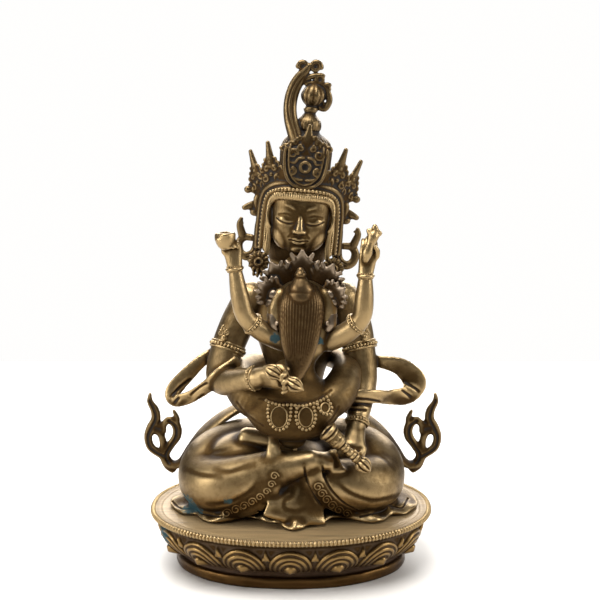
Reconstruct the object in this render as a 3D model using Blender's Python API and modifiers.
"""A seated deity embraced by his consort on an oval lotus pedestal, cast in brass.

Three castings stand on each other: the pedestal, the deity with his crown, scarves and lap, and the
consort on his lap. Every form of the figures is placed in modules of the deity's own height.
"""

import math

import bmesh
import bpy
from mathutils import Matrix, Vector

# Driving sizes, in metres
FIGURE_HEIGHT = 0.186       # from the seat to the tip of the finial
BASE_HEIGHT = 0.0240        # from the ground to the beaded rim
PLINTH_HEIGHT = 0.0046      # the plain foot under the petals
PLINTH_INSET = 0.0110       # how far the foot stands in from the rim
WAIST_INSET = 0.0128        # how far the neck above the foot stands in from the rim
PETAL_BULGE = 0.0042        # how far a petal stands out of the pedestal's side
PETAL_ROW_HEIGHT = 0.0125   # the height that the petals cover
RIM_HEIGHT = 0.0022         # the beaded rim
RIM_MARGIN = 0.0064         # from the hem of the lap to the rim, at the sides
RIM_MARGIN_FRONT = 0.0120   # the same at the front
CASTING_GAP = 0.0004        # between one casting and the next
SEAT_DISH = 0.0006          # how far the seat lies under the rim's top
PETALS = 16

MODULE = FIGURE_HEIGHT / 186        # a 1 mm step of the figure at its real height
SEAT_LEVEL = BASE_HEIGHT - SEAT_DISH + CASTING_GAP
LAP_HALF_WIDTH = 53 * MODULE
LAP_HALF_DEPTH = 35 * MODULE
BASE_HALF_WIDTH = LAP_HALF_WIDTH + RIM_MARGIN
BASE_HALF_DEPTH = LAP_HALF_DEPTH + RIM_MARGIN_FRONT
OVAL_POWER = 2.15                   # 2 is an ellipse, more is squarer
CLEARANCE = 0.0008                  # between the deity and the consort on his lap
HEAD_LEAN = math.radians(5.3)       # the deity's head leans to his left
NECK_PIVOT = (2.5, 6.0, 107.0)

FIGURE_VOXEL = 0.00085
DEITY_TRIANGLES = 4900
CONSORT_TRIANGLES = 2050
AROUND_PER_PETAL = 6
FINE_WEIGHT = 0.005         # how much closer the face keeps its form than the rest

BRASS = (0.30, 0.215, 0.098, 1.0)
DARK_BRASS = (0.235, 0.165, 0.080, 1.0)


def clear_scene():
    for old in list(bpy.data.objects):
        bpy.data.objects.remove(old)


def collection(name, hidden=False):
    made = bpy.data.collections.new(name)
    made.hide_render = hidden
    bpy.context.scene.collection.children.link(made)
    return made


def metal(name, colour, roughness):
    made = bpy.data.materials.new(name)
    made.use_nodes = True
    shader = made.node_tree.nodes["Principled BSDF"]
    shader.inputs["Base Color"].default_value = colour
    shader.inputs["Metallic"].default_value = 1.0
    shader.inputs["Roughness"].default_value = roughness
    return made


def at(x, y, z):
    """A place on the figure: modules from the middle, from the middle, and up from the seat."""
    return Vector((x * MODULE, y * MODULE, SEAT_LEVEL + z * MODULE))


def curve_rows(rows, per_span):
    """Rows of numbers read along a smooth curve that passes through each given row."""
    found = []
    last = len(rows) - 1
    for i in range(last):
        before, start, end, after = (rows[max(i - 1, 0)], rows[i], rows[i + 1], rows[min(i + 2, last)])
        for step in range(per_span):
            t = step / per_span
            found.append([
                0.5 * (2 * b + (c - a) * t + (2 * a - 5 * b + 4 * c - d) * t * t
                       + (3 * b - a - 3 * c + d) * t ** 3)
                for a, b, c, d in zip(before, start, end, after)
            ])
    found.append(list(rows[-1]))
    return found


def skin(bm, stations, sides):
    """A closed tube through rings, each given as its centre and its two half axes."""
    rings = []
    for centre, one, other in stations:
        ring = []
        for k in range(sides):
            turn = 2 * math.pi * k / sides
            ring.append(bm.verts.new(centre + one * math.cos(turn) + other * math.sin(turn)))
        rings.append(ring)
    for low, high in zip(rings, rings[1:]):
        for k in range(sides):
            bm.faces.new((low[k], low[(k + 1) % sides], high[(k + 1) % sides], high[k]))
    bm.faces.new(list(reversed(rings[0])))
    bm.faces.new(rings[-1])


def rounded(stations, steps=3):
    """The stations with a dome added at each end."""
    def dome(end, inner):
        centre, one, other = end
        away = (centre - inner[0]).normalized()
        depth = min(one.length, other.length)
        return [
            (centre + away * depth * math.sin(angle), one * math.cos(angle), other * math.cos(angle))
            for angle in (math.radians(85) * (k + 1) / steps for k in range(steps))
        ]
    return dome(stations[0], stations[1])[::-1] + stations + dome(stations[-1], stations[-2])


def limb(bm, rows, up=(0, 1, 0), sides=12, per_span=4, twist=0.0):
    """A rounded tube along rows of x, y, z, half width and half thickness. Its thickness lies along up."""
    upward = Vector(up)
    rows = curve_rows(rows, per_span)
    places = [at(*row[:3]) for row in rows]
    stations = []
    for k, row in enumerate(rows):
        along = (places[min(k + 1, len(places) - 1)] - places[max(k - 1, 0)]).normalized()
        across = along.cross(upward).normalized()
        thick = across.cross(along).normalized()
        turned = Matrix.Rotation(twist, 3, along)
        stations.append((places[k], turned @ across * row[3] * MODULE, turned @ thick * row[4] * MODULE))
    skin(bm, rounded(stations), sides)


def column(bm, rows, sides=20, per_span=4):
    """A body of level rings: rows of x, y, z, half width and half depth, from low to high."""
    stations = [
        (at(*row[:3]), Vector((row[3] * MODULE, 0, 0)), Vector((0, row[4] * MODULE, 0)))
        for row in curve_rows(rows, per_span)
    ]
    skin(bm, rounded(stations), sides)


def ball(bm, centre, radii, turn=Matrix.Identity(4), sides=14):
    place = Matrix.Translation(at(*centre)) @ turn.to_4x4()
    bmesh.ops.create_uvsphere(
        bm, u_segments=sides, v_segments=max(6, sides * 2 // 3), radius=MODULE,
        matrix=place @ Matrix.Diagonal((*radii, 1.0)))


def mirrored(rows, middle):
    """The same rows on the other side of the middle."""
    return [(2 * middle - row[0], *row[1:]) for row in rows]


def scroll(bm, centre, radius, turns, start, thickness, depth_y, direction=1):
    """A flat curl in the frontal plane, tightening towards its centre."""
    rows = []
    steps = max(6, int(turns * 9))
    for k in range(steps + 1):
        share = k / steps
        angle = start + direction * turns * 2 * math.pi * share
        reach = radius * (1 - 0.72 * share)
        rows.append((centre[0] + reach * math.cos(angle), depth_y, centre[1] + reach * math.sin(angle),
                     thickness, thickness))
    limb(bm, rows, sides=8, per_span=1)


def leaf(bm, foot, tip, half_width, half_thickness, outward, curls=True):
    """A pointed crown leaf from its foot to its tip, with curls that stand out of its sides."""
    foot, tip = Vector(foot), Vector(tip)
    shape = ((0.0, 0.80), (0.3, 1.0), (0.55, 0.66), (0.75, 0.30), (1.0, 0.12))
    rows = [(*foot.lerp(tip, share), half_width * width, half_thickness) for share, width in shape]
    limb(bm, rows, up=outward, sides=10, per_span=2)
    if not curls:
        return
    across = (tip - foot).cross(Vector(outward)).normalized()
    for side in (-1, 1):
        for share, reach in ((0.30, 1.12), (0.62, 0.74)):
            root = foot.lerp(tip, share)
            curl = root + across * side * half_width * reach + (tip - foot) * 0.14
            limb(bm, [(*root, 1.6, 1.2), (*root.lerp(curl, 0.7), 1.3, 1.1), (*curl, 0.8, 0.8)], up=outward,
                 sides=6, per_span=1)


def one_skin(name, bm, home, material, gap=0.0):
    """The loose forms of bm made one closed skin, grown by the gap."""
    bmesh.ops.recalc_face_normals(bm, faces=bm.faces)
    made = bpy.data.objects.new(name, bpy.data.meshes.new(name))
    bm.to_mesh(made.data)
    bm.free()
    home.objects.link(made)
    made.data.materials.append(material)
    voxels(made, softness=2)
    if gap:
        grow = made.modifiers.new("clearance", "DISPLACE")
        grow.strength = gap
        grow.mid_level = 0.0
        apply_modifiers(made)
    return made


def voxels(made, softness):
    """Rebuilds an object's skin evenly and softens it."""
    join = made.modifiers.new("one_skin", "REMESH")
    join.mode = "VOXEL"
    join.voxel_size = FIGURE_VOXEL
    soften = made.modifiers.new("cast_softness", "SMOOTH")
    soften.factor = 0.5
    soften.iterations = softness
    apply_modifiers(made)


def thin(made, triangles, fine=None):
    """Leaves about so many triangles, more closely where fine says so of a place."""
    fewer = made.modifiers.new("thin", "DECIMATE")
    made.data.calc_loop_triangles()
    if fine:
        group = made.vertex_groups.new(name="coarse")
        for vertex in made.data.vertices:
            group.add([vertex.index], 0.5 if fine(vertex.co) else 1.0, "REPLACE")
        fewer.vertex_group = group.name
        fewer.vertex_group_factor = FINE_WEIGHT
    fewer.ratio = triangles / len(made.data.loop_triangles)
    apply_modifiers(made)
    keep_largest_shell(made)


def apply_modifiers(made):
    """The object's mesh as its modifiers leave it, with none of them left."""
    bpy.context.view_layer.update()
    graph = bpy.context.evaluated_depsgraph_get()
    mesh = bpy.data.meshes.new_from_object(made.evaluated_get(graph))
    made.modifiers.clear()
    made.data = mesh


def shells(bm):
    """Lists of the faces that hang together."""
    found, seen = [], set()
    for first in bm.faces:
        if first in seen:
            continue
        seen.add(first)
        shell, open_faces = [], [first]
        while open_faces:
            face = open_faces.pop()
            shell.append(face)
            for edge in face.edges:
                for other in edge.link_faces:
                    if other not in seen:
                        seen.add(other)
                        open_faces.append(other)
        found.append(shell)
    return found


def keep_largest_shell(made):
    bm = bmesh.new()
    bm.from_mesh(made.data)
    for shell in sorted(shells(bm), key=len)[:-1]:
        bmesh.ops.delete(bm, geom=list({v for face in shell for v in face.verts}), context="VERTS")
    bmesh.ops.triangulate(bm, faces=bm.faces)
    bm.to_mesh(made.data)
    bm.free()


def cut(made, cutter):
    """Takes the cutter's form out of an object."""
    boolean = made.modifiers.new("cut", "BOOLEAN")
    boolean.operation = "DIFFERENCE"
    boolean.object = cutter
    apply_modifiers(made)
    keep_largest_shell(made)


# The pedestal

def oval(half_width, half_depth, turn):
    """A point of the pedestal's outline."""
    c, s = math.cos(turn), math.sin(turn)
    power = 2 / OVAL_POWER
    return Vector((half_width * math.copysign(abs(c) ** power, c),
                   half_depth * math.copysign(abs(s) ** power, s), 0))


def even_turns(count):
    """Turns that stand evenly along the outline, the first at the middle of the front."""
    fine = 1440
    turns = [2 * math.pi * k / fine - math.pi / 2 for k in range(fine + 1)]
    points = [oval(BASE_HALF_WIDTH, BASE_HALF_DEPTH, turn) for turn in turns]
    run = [0.0]
    for start, end in zip(points, points[1:]):
        run.append(run[-1] + (end - start).length)
    found, k = [], 0
    for step in range(count):
        wanted = run[-1] * step / count
        while run[k + 1] < wanted:
            k += 1
        share = (wanted - run[k]) / (run[k + 1] - run[k])
        found.append(turns[k] + (turns[k + 1] - turns[k]) * share)
    return found


def petal_relief(step, height):
    """How far the skin stands out, as a share of the petals' bulge. A step of 1 is a whole petal."""
    share = (height - PLINTH_HEIGHT * 1.5) / PETAL_ROW_HEIGHT
    if not 0 <= share <= 1:
        return 0.0
    across = step % 1.0
    across = 2 * min(across, 1 - across)      # 0 on a petal's middle line, 1 between two petals
    arch = across ** 2 + (share * 0.98) ** 2
    relief = math.sqrt(1 - arch) if arch < 1 else 0.0
    knob = (across / 0.34) ** 2 + ((share - 0.12) / 0.20) ** 2
    return relief + 0.45 * max(0.0, 1 - knob)


def pedestal_profile():
    """Heights and insets of the pedestal's side, from its foot to its seat."""
    petal_foot = PLINTH_HEIGHT * 1.5
    side = [(0.0, PLINTH_INSET), (PLINTH_HEIGHT, PLINTH_INSET), (PLINTH_HEIGHT * 1.15, WAIST_INSET)]
    rows = 5
    for k in range(rows + 1):
        share = k / rows
        inset = WAIST_INSET * (1 - share) + 0.0045 * share - 0.0022 * math.sin(math.pi * share)
        side.append((petal_foot + PETAL_ROW_HEIGHT * share, inset))
    rim_foot = BASE_HEIGHT - RIM_HEIGHT
    side += [(rim_foot, 0.0004), (rim_foot + RIM_HEIGHT * 0.5, 0.0),
             (BASE_HEIGHT, 0.0005), (BASE_HEIGHT, 0.0019), (BASE_HEIGHT - SEAT_DISH, 0.0027)]
    return side


def make_pedestal(home, material):
    around = PETALS * AROUND_PER_PETAL
    turns = even_turns(around)
    bm = bmesh.new()
    rings = []
    for height, inset in pedestal_profile():
        ring = []
        for k, turn in enumerate(turns):
            relief = petal_relief(k / AROUND_PER_PETAL, height) * PETAL_BULGE
            point = oval(BASE_HALF_WIDTH - inset + relief, BASE_HALF_DEPTH - inset + relief, turn)
            ring.append(bm.verts.new((point.x, point.y, height)))
        rings.append(ring)
    for low, high in zip(rings, rings[1:]):
        for k in range(around):
            bm.faces.new((low[k], low[(k + 1) % around], high[(k + 1) % around], high[k]))
    bm.faces.new(list(reversed(rings[0])))
    bm.faces.new(rings[-1])
    made = bpy.data.objects.new("lotus_pedestal", bpy.data.meshes.new("lotus_pedestal"))
    bm.to_mesh(made.data)
    bm.free()
    made.data.materials.append(material)
    home.objects.link(made)
    return made


# The deity: lap, body, arms

def hem_outline():
    """The lap cloth's scalloped edge on the seat, half of it, from the front middle to the back."""
    half = [(1.3, -35), (6, -31), (9, -24), (15, -21.5), (20, -17.5), (25.5, -22), (33, -25.5), (38.5, -22.5),
            (42, -16), (47, -15.5), (51, -10), (54.3, -2), (51.5, 9), (43, 20), (30, 28), (15, 32), (1.3, 33)]
    middle = half[0][0]
    other = [(2 * middle - x, y) for x, y in half[-2:0:-1]]
    return half + other


def lap_cloth(bm):
    """The skirt spread on the seat: low at its hem, rising under the legs."""
    outline = hem_outline()
    closed = outline + outline[:1]
    points = curve_rows(closed, 3)[:-1]
    middle = Vector((1.5, -1.0))
    layers = ((0.97, -2.0), (1.0, 0.2), (1.0, 1.5), (0.965, 2.3), (0.85, 2.2), (0.7, 4.0), (0.45, 9.0))
    rings = []
    for share, height in layers:
        ring = []
        for point in points:
            spot = middle.lerp(Vector(point), share)
            ring.append(bm.verts.new(at(spot.x, spot.y, height)))
        rings.append(ring)
    count = len(points)
    for low, high in zip(rings, rings[1:]):
        for k in range(count):
            bm.faces.new((low[k], low[(k + 1) % count], high[(k + 1) % count], high[k]))
    bm.faces.new(list(reversed(rings[0])))
    bm.faces.new(rings[-1])


def legs(bm):
    right = [(-6, 12, 19, 14, 13), (-20, 8, 20, 14.5, 14.5), (-32, 1, 17, 13.5, 13.8),
             (-35.6, -8, 13.5, 11.5, 12),
             (-30, -15.5, 13.5, 11, 11.2), (-18, -20, 17, 9.5, 10.4), (-6, -24, 22.5, 7, 8),
             (5, -26.5, 26, 5.5, 5.4),
             (11, -26, 27, 4.6, 4.4)]
    limb(bm, right, up=(0, 0, 1), sides=16)
    left = [(8, 12, 19, 14, 13), (22, 8, 20, 14.5, 14.5), (33, 1, 17, 13.5, 13.8), (36, -8, 13.5, 11.5, 12),
            (31, -15.5, 13.5, 11, 11.2), (20, -20, 15.5, 9.5, 10), (9, -20, 17, 7, 8)]
    limb(bm, left, up=(0, 0, 1), sides=16)
    # the foot that lies on each thigh, sole up
    limb(bm, [(9, -26, 27, 4.4, 4.0), (15, -25.5, 26.5, 4.0, 2.8), (21.5, -24, 26, 4.0, 2.3)], sides=12,
         up=(0, -0.5, 1))
    limb(bm, [(-2, -13, 29, 4.6, 4.0), (-10, -12, 32, 4.2, 3.0), (-19, -10, 33, 4.2, 2.6)], sides=12,
         up=(0, -0.5, 1))
    # the fold of cloth that lies over the right thigh
    limb(bm, [(-6, -21, 32, 3.6, 1.2), (-15, -19, 34, 4.4, 1.4), (-24, -15, 35.5, 4.6, 1.2)], sides=10,
         up=(0, -0.6, 1))
    ball(bm, (1.2, 12, 19), (24, 17, 15), sides=18)
    ball(bm, (1.2, -9, 15), (24, 17, 15), sides=18)


def apron(bm):
    """The cloth that falls between the legs, and the bordered bands on both sides of it."""
    limb(bm, [(3, -22, 20, 9, 2.2), (3, -25.5, 12, 10, 2.0), (2, -28.5, 5.5, 10.5, 1.8),
              (1.4, -31, 2.2, 9, 1.4)],
         up=(0, 1, 0.8), sides=14)
    band = [(-8, -27, 30, 3.2, 1.4), (-7.6, -29, 22, 3.6, 1.6), (-9.5, -28.5, 13, 4.4, 1.8),
            (-15.5, -24.5, 6, 5.0, 1.7), (-25, -21.5, 2.2, 4.6, 1.4)]
    limb(bm, band, up=(0, 1, 0.4), sides=12)
    limb(bm, mirrored(band[1:], 1.2), up=(0, 1, 0.4), sides=12)


def torso(bm):
    column(bm, [(1.5, 12, 18, 18, 14), (1.5, 12, 30, 14, 11), (1.8, 10.5, 42, 10.8, 8.6),
                (2.2, 9, 54, 11.8, 9), (2.6, 8, 66, 15.5, 10), (2.8, 8, 78, 19.5, 10),
                (2.8, 8.5, 87, 19.5, 8.8), (2.8, 8.5, 93, 12.5, 7.5), (2.6, 7.5, 98, 6.8, 6.4),
                (2.5, 6.0, 108, 5.8, 5.8)])


def arms(bm):
    limb(bm, [(-16.5, 9, 86.5, 7.6, 7.6), (-22.5, 7, 76, 7.2, 7.2), (-27, 3, 65, 6.8, 6.8),
              (-29, -3, 56, 6.4, 6.2), (-25, -11, 55.5, 5.6, 5.6), (-17, -19, 58.5, 5.0, 5.0),
              (-11, -24, 61, 4.2, 4.2)], sides=14, up=(1, 0, 0.2))
    limb(bm, [(21.5, 9, 86.5, 7.6, 7.6), (26.5, 7, 76, 7.2, 7.2), (29, 4, 65, 6.4, 6.4), (30, 0, 54, 6.0, 6.0),
              (28.5, -7, 45, 5.4, 5.2), (26.5, -14, 36.5, 4.2, 4.2)], sides=14, up=(1, 0, 0))
    ring(bm, (-26, 4.5, 66.5), (-0.35, -0.35, -1), 7.2, 0.9)
    ring(bm, (28.8, 4.8, 67), (0.25, -0.3, -1), 7.0, 0.9)
    ring(bm, (27, -12.5, 38.5), (-0.2, -0.65, -0.8), 4.8, 0.8)
    hand(bm, wrist=(-12, -23.5, 60.8), palm=(-6.5, -27.5, 61.5), reach=(1, -0.3, 0), spread=(0, 0.3, -1),
         grip=0.85,
         size=1.25)
    hand(bm, wrist=(26.5, -14, 36.5), palm=(25.5, -20.5, 31.5), reach=(-0.25, -1, -0.55), spread=(-1, 0, 0.2),
         grip=0.6,
         size=1.2)


def ring(bm, centre, along, radius, thickness):
    """A band round a limb."""
    along = Vector(along).normalized()
    one = along.orthogonal().normalized()
    other = along.cross(one)
    rows = []
    for k in range(15):
        turn = 2 * math.pi * k / 14
        rows.append((*(Vector(centre) + one * radius * math.cos(turn) + other * radius * math.sin(turn)),
                     thickness, thickness))
    limb(bm, rows, up=along, sides=6, per_span=1)


def hand(bm, wrist, palm, reach, spread, grip, size=1.0):
    """A palm with four fingers and a thumb. Grip curls the fingers, from 0, straight, to 1, a fist."""
    wrist, palm, reach, spread = Vector(wrist), Vector(palm), Vector(reach), Vector(spread)
    reach.normalize()
    spread = (spread - spread.dot(reach) * reach).normalized()
    face = spread.cross(reach)
    limb(bm, [(*wrist, 3.6 * size, 2.8 * size), (*wrist.lerp(palm, 0.5), 3.9 * size, 2.7 * size),
              (*palm, 4.4 * size, 2.4 * size)], up=face, sides=10)
    for k in range(4):
        root = palm + spread * (k - 1.5) * 1.9 * size + reach * 1.5 * size
        rows, direction, length = [], reach.copy(), (4.2 if k in (1, 2) else 3.5) * size
        for joint in range(4):
            rows.append((*root, 1.15 * size, 1.15 * size))
            root = root + direction * length / 1.6
            direction = Matrix.Rotation(grip * 1.15, 3, spread) @ direction
        limb(bm, rows, up=face, sides=8, per_span=2)
    thumb = palm - spread * 3.6 * size
    limb(bm, [(*thumb, 1.3, 1.3), (*(thumb + reach * 2.6 * size - face * 1.2), 1.25, 1.25),
              (*(thumb + reach * 4.4 * size - face * 2.2 + spread * 1.4), 1.1, 1.1)], up=face, sides=8)


def bell(bm):
    """The hand bell, held on its side with its mouth up towards the consort."""
    mouth, neck, end = Vector((14.6, -30.6, 40.6)), Vector((20.5, -30.3, 34.7)), Vector((31.8, -29.8, 23.4))
    axis = (neck - mouth).normalized()
    rows = [(*(mouth + axis * d), r, r) for d, r in ((0.8, 3.8), (1.6, 3.7), (4.0, 3.3), (7.2, 3.1),
                                                     (8.6, 2.2))]
    limb(bm, rows, sides=14, per_span=2)
    limb(bm, [(*neck, 1.7, 1.7), (*neck.lerp(end, 0.5), 1.6, 1.6), (*end, 1.5, 1.5)], sides=8)
    limb(bm, [(*neck.lerp(end, 0.62), 1.6, 1.6), (*neck.lerp(end, 0.82), 3.0, 3.0), (*end, 1.4, 1.4)], sides=10)


def thunderbolt(bm):
    """The short double-ended sceptre in the deity's right hand."""
    limb(bm, [(-9.6, -29.8, 66.0, 0.8, 0.8), (-6.8, -30.4, 64.4, 2.9, 2.9), (-2.8, -31.4, 62.2, 1.6, 1.6),
              (1.4, -32.2, 59.8, 2.9, 2.9), (4.2, -32.7, 58.2, 0.8, 0.8)], sides=10)


# The deity: scarves

def scarves(bm):
    """The flat scarf over both elbows, standing out in a loop on each side."""
    limb(bm, [(29, 8, 61, 2.4, 1.3), (37, 4, 60.5, 2.8, 1.2), (46, 3, 58.5, 4.2, 1.1),
              (51.8, 2, 52.5, 5.4, 1.1),
              (48.5, 0, 47.4, 4.6, 1.1), (41, -4, 47.4, 3.7, 1.2), (35, -10, 49.2, 3.4, 1.2),
              (28.4, -13.2, 50.0, 3.3, 1.2),
              (23.4, -10.5, 50.4, 3.0, 1.3), (20, -4, 50, 2.8, 1.3)], up=(0.0, 1, 0.15), sides=12)
    limb(bm, [(-28, 9, 66, 2.4, 1.3), (-36, 4, 62, 2.8, 1.2), (-43, 1, 56, 3.4, 1.1), (-49, -1, 49.5, 3.6, 1.1),
              (-48.5, -3, 45.8, 3.2, 1.1), (-42, -5, 47.5, 3.0, 1.1), (-35, -8, 52.5, 3.0, 1.2),
              (-29, -10.5, 58.5, 3.0, 1.3), (-22, -6, 63, 2.8, 1.3)], up=(0.1, 1, 0.2), sides=12)
    tail = [(14, 18, 36, 3.8, 1.8), (24, 14, 37, 4.2, 1.8), (31, 11, 34.5, 4.6, 1.8), (38.5, 9, 28.5, 4.7, 1.8),
            (44.5, 8, 21, 4.1, 1.8), (48.5, 8, 15.5, 3.1, 1.8), (52.5, 8, 14.5, 2.6, 1.6),
            (55.5, 8, 17.5, 2.3, 1.5)]
    limb(bm, tail, up=(0.55, -0.35, 1), sides=12)
    limb(bm, mirrored(tail, 0.7), up=(-0.55, -0.35, 1), sides=12)


def flourish(bm, middle, side):
    """A scarf end that stands up beside the lap in two pierced curls and a tall tip."""
    def place(rows):
        return [(middle + side * x, 8, z, half, 1.45) for x, z, half in rows]
    limb(bm, place([(51, 12.8, 2.4), (53.6, 15, 2.4), (54.6, 19, 2.2), (52.0, 23.3, 2.0), (49.4, 27.3, 2.2),
                    (49.6, 31.8, 2.2), (52.6, 34.2, 1.8), (54.9, 32.0, 1.5), (55.0, 29.4, 1.5)]), sides=10)
    limb(bm, place([(54.2, 18.0, 2.1), (57.5, 19.8, 2.0), (61.0, 22.4, 2.0), (62.2, 27.0, 2.1),
                    (60.2, 31.0, 2.3),
                    (58.2, 34.6, 2.3), (58.6, 38.6, 2.1), (60.6, 42.4, 1.6), (60.4, 45.8, 1.0)]), sides=10)
    limb(bm, place([(62.0, 26.6, 1.5), (59.6, 29.4, 1.6), (56.6, 28.4, 1.7), (55.4, 24.6, 1.7),
                    (55.4, 20.6, 1.7)]),
         sides=10)
    limb(bm, place([(50.0, 31.0, 1.7), (49.2, 34.8, 1.4), (50.6, 38.4, 0.9)]), sides=8)
    limb(bm, place([(59.2, 33.6, 1.6), (57.0, 31.8, 1.5), (55.0, 32.4, 1.3)]), sides=8)


# The deity: head, crown and finial, built upright and then leaned

def head(bm):
    column(bm, [(2.5, 2.5, 107.5, 5.5, 7.5), (2.5, 1.5, 111, 9.4, 10.5), (2.5, 1.8, 117, 12.0, 12.0),
                (2.5, 2.2, 124, 12.8, 12.8), (2.5, 3, 131, 12.6, 13), (2.5, 4, 138, 11.0, 11.6),
                (2.5, 5, 143, 7.0, 7.5)], sides=22)
    # the hair round the face
    column(bm, [(2.5, 5.5, 107.5, 12.6, 6.6), (2.5, 5.2, 114, 14.2, 9.4), (2.5, 4.4, 122, 14.4, 10.4),
                (2.5, 3.8, 128, 14.2, 11.0), (2.5, 4, 136, 12.0, 11.2)], sides=22)
    # nose, brow and lips, calm and plain
    limb(bm, [(2.5, -9.6, 124.5, 1.2, 1.2), (2.5, -10.6, 120.5, 1.4, 1.5), (2.5, -11.2, 117.6, 1.9, 1.6)],
         up=(0, 1, 0), sides=8)
    limb(bm, [(-0.4, -9.4, 114.0, 0.8, 0.8), (2.5, -10.2, 114.2, 1.1, 1.1), (5.4, -9.4, 114.0, 0.8, 0.8)],
         up=(0, 0, 1), sides=8)
    for side in (-1, 1):
        limb(bm, [(2.5 + side * 1.4, -9.6, 125.6, 0.7, 0.7), (2.5 + side * 5.5, -9.4, 128.2, 0.8, 0.8),
                  (2.5 + side * 10, -6.0, 127.0, 0.6, 0.6)], up=(0, 0, 1), sides=6)
        ball(bm, (2.5 + side * 5.4, -7.8, 122.4), (3.4, 2.6, 1.6))
        # the long ear, and the earring's rosette on the shoulder
        limb(bm, [(2.5 + side * 13.6, 2, 128.5, 2.6, 1.5), (2.5 + side * 14.4, 1.5, 122, 2.2, 1.4),
                  (2.5 + side * 14.0, 1, 114, 2.0, 1.3), (2.5 + side * 14.2, 0, 105, 2.2, 1.5)],
             up=(1, 0.3, 0), sides=10)
        limb(bm, [(2.5 + side * 14.6, 0.0, 103.6, 4.2, 4.2), (2.5 + side * 15.2, -4.6, 103.0, 4.4, 4.4)],
             up=(0, 0, 1), sides=14)


def crown(bm):
    """The five-leaved crown with its beaded band round the hair."""
    band = []
    for k in range(13):
        angle = math.radians(-38 + 256 * k / 12)
        band.append((2.5 + 15.0 * math.cos(angle), 1.0 - 2.2 * math.sin(angle),
                     123.0 + 13.6 * math.sin(angle) * (1.0 if math.sin(angle) > 0 else 0.8), 1.7, 2.2))
    limb(bm, band, up=(0, 1, 0), sides=10, per_span=2)
    leaf(bm, (2.5, -7.4, 134.5), (2.5, -8.6, 159.5), 9.4, 1.8, (0, 1, 0.1))
    ball(bm, (2.5, -9.0, 142.5), (3.4, 2.0, 3.4), sides=12)
    for side in (-1, 1):
        leaf(bm, (2.5 + side * 11.0, -3.0, 133),
             (2.5 + side * 16.2, -4.0, 153), 6.4, 1.7, (side * 0.35, 1, 0.1))
        leaf(bm, (2.5 + side * 15.0, 2.0, 128), (2.5 + side * 23.0, 3.0, 147.5), 6.0, 1.7, (side * 0.8, 1, 0.1))
        limb(bm, [(2.5 + side * 15, 2.5, 131, 3.4, 1.6), (2.5 + side * 19.5, 3, 127.5, 2.6, 1.5),
                  (2.5 + side * 17.5, 3, 121.5, 1.6, 1.4)], up=(side * 0.3, 1, 0), sides=10)
        ball(bm, (2.5 + side * 24, 3, 134.2), (1.9, 1.7, 1.7))
        limb(bm, [(2.5 + side * 19, 3, 133, 2.0, 1.4), (2.5 + side * 23.2, 3, 134.2, 1.2, 1.2)], sides=8)
        # the ribbon's bow behind the ear
        limb(bm, [(2.5 + side * 14.5, 4, 123.6, 2.0, 1.8), (2.5 + side * 18.5, 4, 124.6, 2.6, 1.8),
                  (2.5 + side * 23.2, 4, 123.4, 1.2, 1.2)], sides=10)
        # the ribbon's tail: down beside the hair, out in a ring, and up again
        limb(bm, [(2.5 + side * 15.6, 3.5, 121.5, 1.9, 1.6), (2.5 + side * 16.1, 3.5, 111, 2.3, 1.6),
                  (2.5 + side * 17.3, 3.6, 105.4, 2.1, 1.6), (2.5 + side * 20.6, 4, 103.4, 1.9, 1.5),
                  (2.5 + side * 23.4, 4.4, 104.9, 1.8, 1.5), (2.5 + side * 24.1, 4.6, 108.4, 1.7, 1.5),
                  (2.5 + side * 22.2, 4.6, 111.0, 1.6, 1.5),
                  (2.5 + side * 18.8, 4.2, 111.2, 1.5, 1.4)], sides=10)
        limb(bm, [(2.5 + side * 22.4, 4.6, 110.4, 1.8, 1.5), (2.5 + side * 23.6, 4.4, 113.6, 1.7, 1.4),
                  (2.5 + side * 24.2, 4, 118.4, 1.1, 1.1)], sides=8)


def finial(bm):
    """The piled hair, the jewel on it, and the curling plume round the jewel."""
    column(bm, [(2.5, 5, 138, 9.5, 9.0), (2.5, 5, 145, 10.3, 9.6), (2.5, 5, 151, 8.6, 8.2),
                (2.5, 5, 155.5, 4.4, 4.2)])
    column(bm, [(2.5, 5, 155, 3.6, 3.6), (2.5, 5, 159, 5.0, 5.0), (2.5, 5, 163, 4.0, 4.0),
                (2.5, 5, 166, 1.9, 1.9)],
           sides=14)
    column(bm, [(2.5, 5, 166, 1.8, 1.8), (2.5, 5, 171, 5.2, 5.0), (2.5, 5, 175, 4.4, 4.2),
                (2.5, 5, 178.5, 2.0, 2.0)],
           sides=14)
    limb(bm, [(-1.5, -1, 151, 3.6, 2.6), (-4.4, 1, 158, 3.0, 2.5), (-5.8, 3, 166, 2.7, 2.4),
              (-4.6, 4, 174, 2.6, 2.3), (-0.6, 4.5, 181.5, 2.4, 2.1)], sides=12)
    scroll(bm, (-2.6, 183.2), 2.0, 0.75, math.radians(-20), 1.2, 4.5)
    scroll(bm, (3.4, 183.4), 2.4, 0.85, math.radians(150), 1.2, 4.5, direction=-1)
    limb(bm, [(-3.0, 4.5, 172.5, 1.5, 1.5), (-0.5, 4.5, 176.8, 1.4, 1.5), (3, 4.5, 179.4, 1.2, 1.3)], sides=8)
    scroll(bm, (5.6, 177.0), 2.2, 0.85, math.radians(120), 1.1, 4.5, direction=-1)
    scroll(bm, (8.6, 173.4), 2.0, 0.85, math.radians(120), 1.1, 4.5, direction=-1)
    limb(bm, [(8.6, 4.5, 172.5, 1.4, 1.4), (10.2, 4.5, 168.5, 1.4, 1.4), (8.6, 4.5, 165.4, 1.3, 1.3),
              (6.6, 4.5, 166.8, 1.1, 1.1)], sides=8)


def on_face(place):
    """Whether a place lies on the deity's face."""
    low, high = at(-10, -20, 106), at(22, 1, 132)
    return all(a < b < c for a, b, c in zip(low, place, high))


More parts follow.
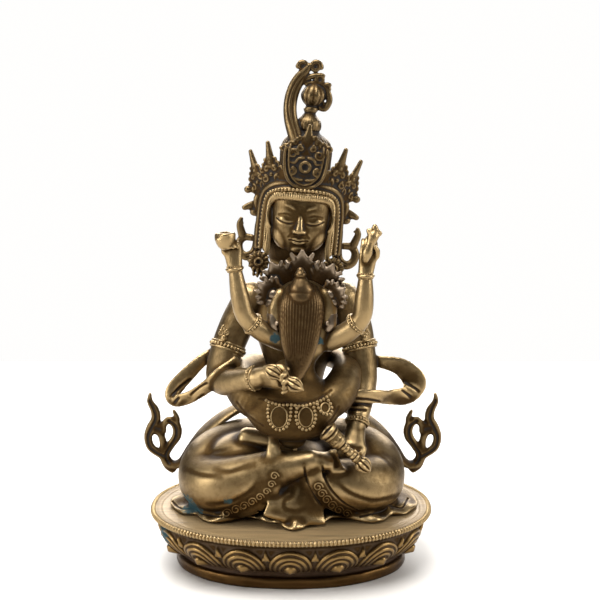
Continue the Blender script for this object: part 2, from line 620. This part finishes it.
def lean_head(bm, before):
    """Leans what was added after the first vertices about the neck."""
    pivot = at(*NECK_PIVOT)
    added = [v for v in bm.verts if v not in before]
    bmesh.ops.rotate(bm, verts=added, cent=pivot, matrix=Matrix.Rotation(HEAD_LEAN, 3, "Y"))


def make_deity(home, material):
    bm = bmesh.new()
    lap_cloth(bm)
    legs(bm)
    apron(bm)
    torso(bm)
    arms(bm)
    bell(bm)
    thunderbolt(bm)
    scarves(bm)
    flourish(bm, 0.7, 1)
    flourish(bm, 0.7, -1)
    body = set(bm.verts)
    head(bm)
    crown(bm)
    finial(bm)
    lean_head(bm, body)
    return one_skin("deity", bm, home, material)


# The consort

def consort_forms():
    bm = bmesh.new()
    # hips in a smooth skirt, the narrow waist and the back
    column(bm, [(0.6, -21, 35, 6, 4.5), (0.6, -21, 37.2, 12, 8), (0.8, -20.3, 41, 16.6, 10.4),
                (1.0, -18.5, 47, 20.2, 12),
                (1.6, -16, 53, 17.3, 11), (3.4, -14.5, 59, 7.8, 7.8), (4.0, -15.5, 65, 6.4, 6.0),
                (6.2, -16, 71, 8.8, 6.2), (6.6, -16, 76.5, 10.8, 6.0), (6.2, -16, 80.5, 8.5, 5.4),
                (5.4, -15.5, 84.5, 4.6, 4.6), (5, -15, 88, 4.6, 4.6)], sides=20)
    # thighs and shins round the deity's waist, feet crossed behind him
    left = [(-6, -19, 46.5, 8.5, 8), (-15.5, -15.5, 50, 8.4, 7.6), (-21, -6.5, 54.5, 7, 6.8),
            (-21, 6, 56.5, 5.4, 5.2),
            (-13, 18.5, 56.5, 4.4, 4.4), (-2, 23.5, 55, 3.6, 3.4)]
    limb(bm, left, up=(0, 0, 1), sides=12)
    right = [(9, -19, 46.5, 8.5, 8), (17.5, -15.5, 50.5, 8.4, 7.4), (22.5, -6.5, 56.5, 6.6, 6.6),
             (22.5, 6, 59.5, 5.2, 5.2),
             (15, 18.5, 60, 4.4, 4.4), (4, 24.5, 59.5, 3.6, 3.4)]
    limb(bm, right, up=(0, 0, 1), sides=12)
    # the girdle
    ring(bm, (1.8, -16.0, 53.5), (0.05, -0.42, 1), 17.4, 0.9)
    # raised arms
    limb(bm, [(-2.5, -16, 74, 4.6, 4.6), (-10, -18.5, 77.5, 4.2, 4.2), (-17.2, -21, 84, 3.9, 3.9),
              (-19.8, -21.5, 92, 3.8, 3.8), (-21.8, -22, 104.5, 2.9, 2.9)], sides=12)
    limb(bm, [(15.5, -16, 74, 4.6, 4.6), (22, -18.5, 77.5, 4.2, 4.2), (28, -21, 84, 3.9, 3.9),
              (29.2, -21.5, 92, 3.8, 3.8), (29.6, -22, 102, 2.9, 2.9)], sides=12)
    ring(bm, (-21.8, -22, 104), (-0.1, 0, 1), 3.5, 0.7)
    ring(bm, (29.6, -22, 101.5), (0, 0, 1), 3.5, 0.7)
    hand(bm, wrist=(-21.8, -22, 105), palm=(-22.6, -22, 111.5), reach=(-0.1, -0.3, 1), spread=(1, 0, 0),
         grip=0.95,
         size=0.92)
    hand(bm, wrist=(29.6, -22, 102), palm=(30.6, -21, 109.5), reach=(0.1, 0.1, 1), spread=(-1, 0, 0), grip=0.4,
         size=0.92)
    # the skull cup and the chopper's vajra top
    limb(bm, [(-22.5, -24, 113, 3.4, 3.4), (-23.5, -25.5, 117.5, 4.4, 3.8)], sides=12)
    limb(bm, [(31, -24, 108, 2.0, 2.0), (31.4, -24, 114, 2.6, 2.6), (31.6, -23.5, 120, 2.2, 2.2)], sides=10)
    # head thrown back, with combed hair to the waist
    ball(bm, (4.6, -13.5, 89), (10.6, 9.6, 9.6), sides=18)
    limb(bm, [(4.4, -18.5, 92, 8.6, 5.0), (4.8, -21, 84, 8.9, 4.4), (4.6, -22, 76, 8.4, 3.6),
              (4.2, -22.5, 67, 6.4, 2.8), (3.4, -23, 61.5, 3.4, 2.0),
              (2.8, -23.2, 57.6, 1.0, 1.1)], up=(0, 1, 0),
         sides=18)
    limb(bm, [(4.2, -21, 90.5, 6.0, 5.6), (4.2, -20.5, 94, 5.4, 5.0)], up=(0, 1, 0), sides=14)
    limb(bm, [(4.2, -20.5, 95.5, 5.0, 4.6), (4.1, -20, 99, 3.6, 3.4), (4.0, -19.5, 102.5, 1.8, 1.8),
              (4.0, -19.0, 104.5, 1.6, 1.6)], up=(0, 1, 0), sides=14)
    # the crown's leaves flare round the far side of her head
    for tip, foot, width in (((4.7, -12, 109.5), (4.6, -9, 92), 6.4), ((-8, -15, 104.5), (-3, -10.5, 90), 6.2),
                             ((16.5, -16, 104), (12.5, -10.5, 90), 6.2), ((-12.5, -22, 96.5),
                                                                          (-4.5, -15, 87), 5.6),
                             ((21.8, -23, 95.5), (13.5, -15, 87), 5.6)):
        leaf(bm, foot, tip, width, 1.3, ((foot[0] - 4.6) * 0.1, 1, 0.3), curls=False)
    for x in (-10.4, 19.0):
        limb(bm, [(x * 0.8 + 1.0, -15, 90, 3.0, 2.6), (x, -17, 85, 3.2, 2.2),
                  (x, -18, 80.5, 3.2, 2.2)], sides=10)
    return bm


def make_consort(home, material):
    made = one_skin("consort", consort_forms(), home, material)
    thin(made, CONSORT_TRIANGLES)


def main():
    clear_scene()
    home = collection("deity_with_consort")
    tools = collection("cutters", hidden=True)
    brass = metal("aged_brass", BRASS, 0.38)
    dark = metal("dark_brass", DARK_BRASS, 0.45)

    make_pedestal(home, brass)
    deity = make_deity(home, brass)
    make_consort(home, dark)

    # the deity's lap leaves room for the consort, and his underside is cut flat
    room = one_skin("consort_room", consort_forms(), tools, dark, gap=CLEARANCE)
    cut(deity, room)
    voxels(deity, softness=1)
    block = bmesh.new()
    bmesh.ops.create_cube(block, size=1.0, matrix=Matrix.Translation((0, 0, SEAT_LEVEL - 0.5)))
    under = bpy.data.objects.new("under_seat", bpy.data.meshes.new("under_seat"))
    block.to_mesh(under.data)
    block.free()
    tools.objects.link(under)
    cut(deity, under)
    thin(deity, DEITY_TRIANGLES, fine=on_face)
    for vertex in deity.data.vertices:
        if vertex.co.z < SEAT_LEVEL + 0.00005:
            vertex.co.z = SEAT_LEVEL
    for cutter in (room, under):
        cutter.display_type = "WIRE"
        cutter.hide_render = True


main()
